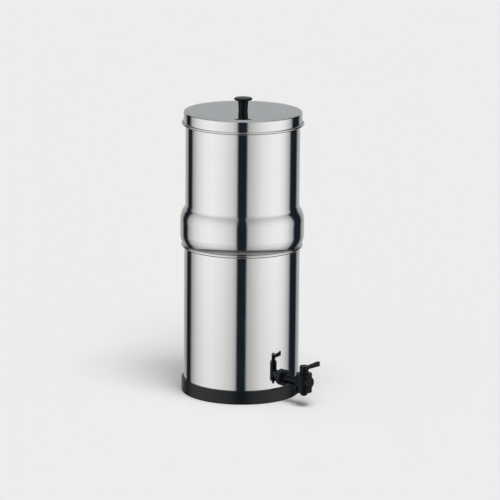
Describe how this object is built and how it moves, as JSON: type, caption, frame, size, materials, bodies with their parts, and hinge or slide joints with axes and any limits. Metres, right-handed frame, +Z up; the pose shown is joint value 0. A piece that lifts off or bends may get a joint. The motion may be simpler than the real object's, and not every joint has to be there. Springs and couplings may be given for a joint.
{
  "type": "gravity water filter",
  "caption": "Stainless steel gravity water filter: an upper chamber with ceramic candles nests on a lower chamber with a black lever tap, a lid with a knob and a rubber base ring.",
  "frame": {"origin": "centre of the base ring's resting face, on the chambers' common axis", "axes": "+Z up along the chambers' axis; the tap points along -Y and the closed lever along +X"},
  "size_m": [0.2312, 0.2936, 0.5587],
  "materials": {
    "polished_steel": "mirror-polished stainless steel sheet",
    "screw_steel": "plain stainless steel",
    "black_plastic": "moulded black plastic, semi-gloss",
    "valve_plastic": "moulded plastic, smooth",
    "candle_plastic": "moulded white plastic",
    "candle_ceramic": "unglazed porous ceramic",
    "candle_carbon": "pressed carbon block",
    "base_rubber": "matt black rubber with a soft sheen",
    "washer_rubber": "matt black rubber"
  },
  "bodies": {
    "lower_assembly": {"base_ring": "base_rubber", "lower_chamber": "polished_steel", "tap_body": "black_plastic", "tap_outer_washer": "washer_rubber", "tap_inner_washer": "washer_rubber", "tap_lock_nut": "black_plastic", "tap_bonnet": "black_plastic"},
    "upper_assembly": {"upper_chamber": "polished_steel", "candle_left_shell": "candle_ceramic", "candle_left_core": "candle_carbon", "candle_left_base": "candle_plastic", "candle_left_seal": "washer_rubber", "candle_left_wing_nut": "candle_plastic", "candle_right_shell": "candle_ceramic", "candle_right_core": "candle_carbon", "candle_right_base": "candle_plastic", "candle_right_seal": "washer_rubber", "candle_right_wing_nut": "candle_plastic"},
    "lid_assembly": {"lid": "polished_steel", "lid_knob": "black_plastic", "knob_screw": "screw_steel", "knob_washer": "screw_steel"},
    "tap_valve": {"tap_plug": "valve_plastic", "tap_plug_seal_upper": "washer_rubber", "tap_plug_seal_lower": "washer_rubber", "tap_lever": "black_plastic"}
  },
  "joints": [
    {"name": "upper_chamber_lift", "type": "slide", "parent": "lower_assembly", "child": "upper_assembly", "axis": [0, 0, 1], "range_m": [0, 0.08]},
    {"name": "lid_lift", "type": "slide", "parent": "upper_assembly", "child": "lid_assembly", "axis": [0, 0, 1], "range_m": [0, 0.06]},
    {"name": "tap_lever_turn", "type": "hinge", "parent": "lower_assembly", "child": "tap_valve", "pos_m": [0, -0.1623, 0.0437], "axis": [0, 0, 1], "range_deg": [-90, 0]}
  ]
}
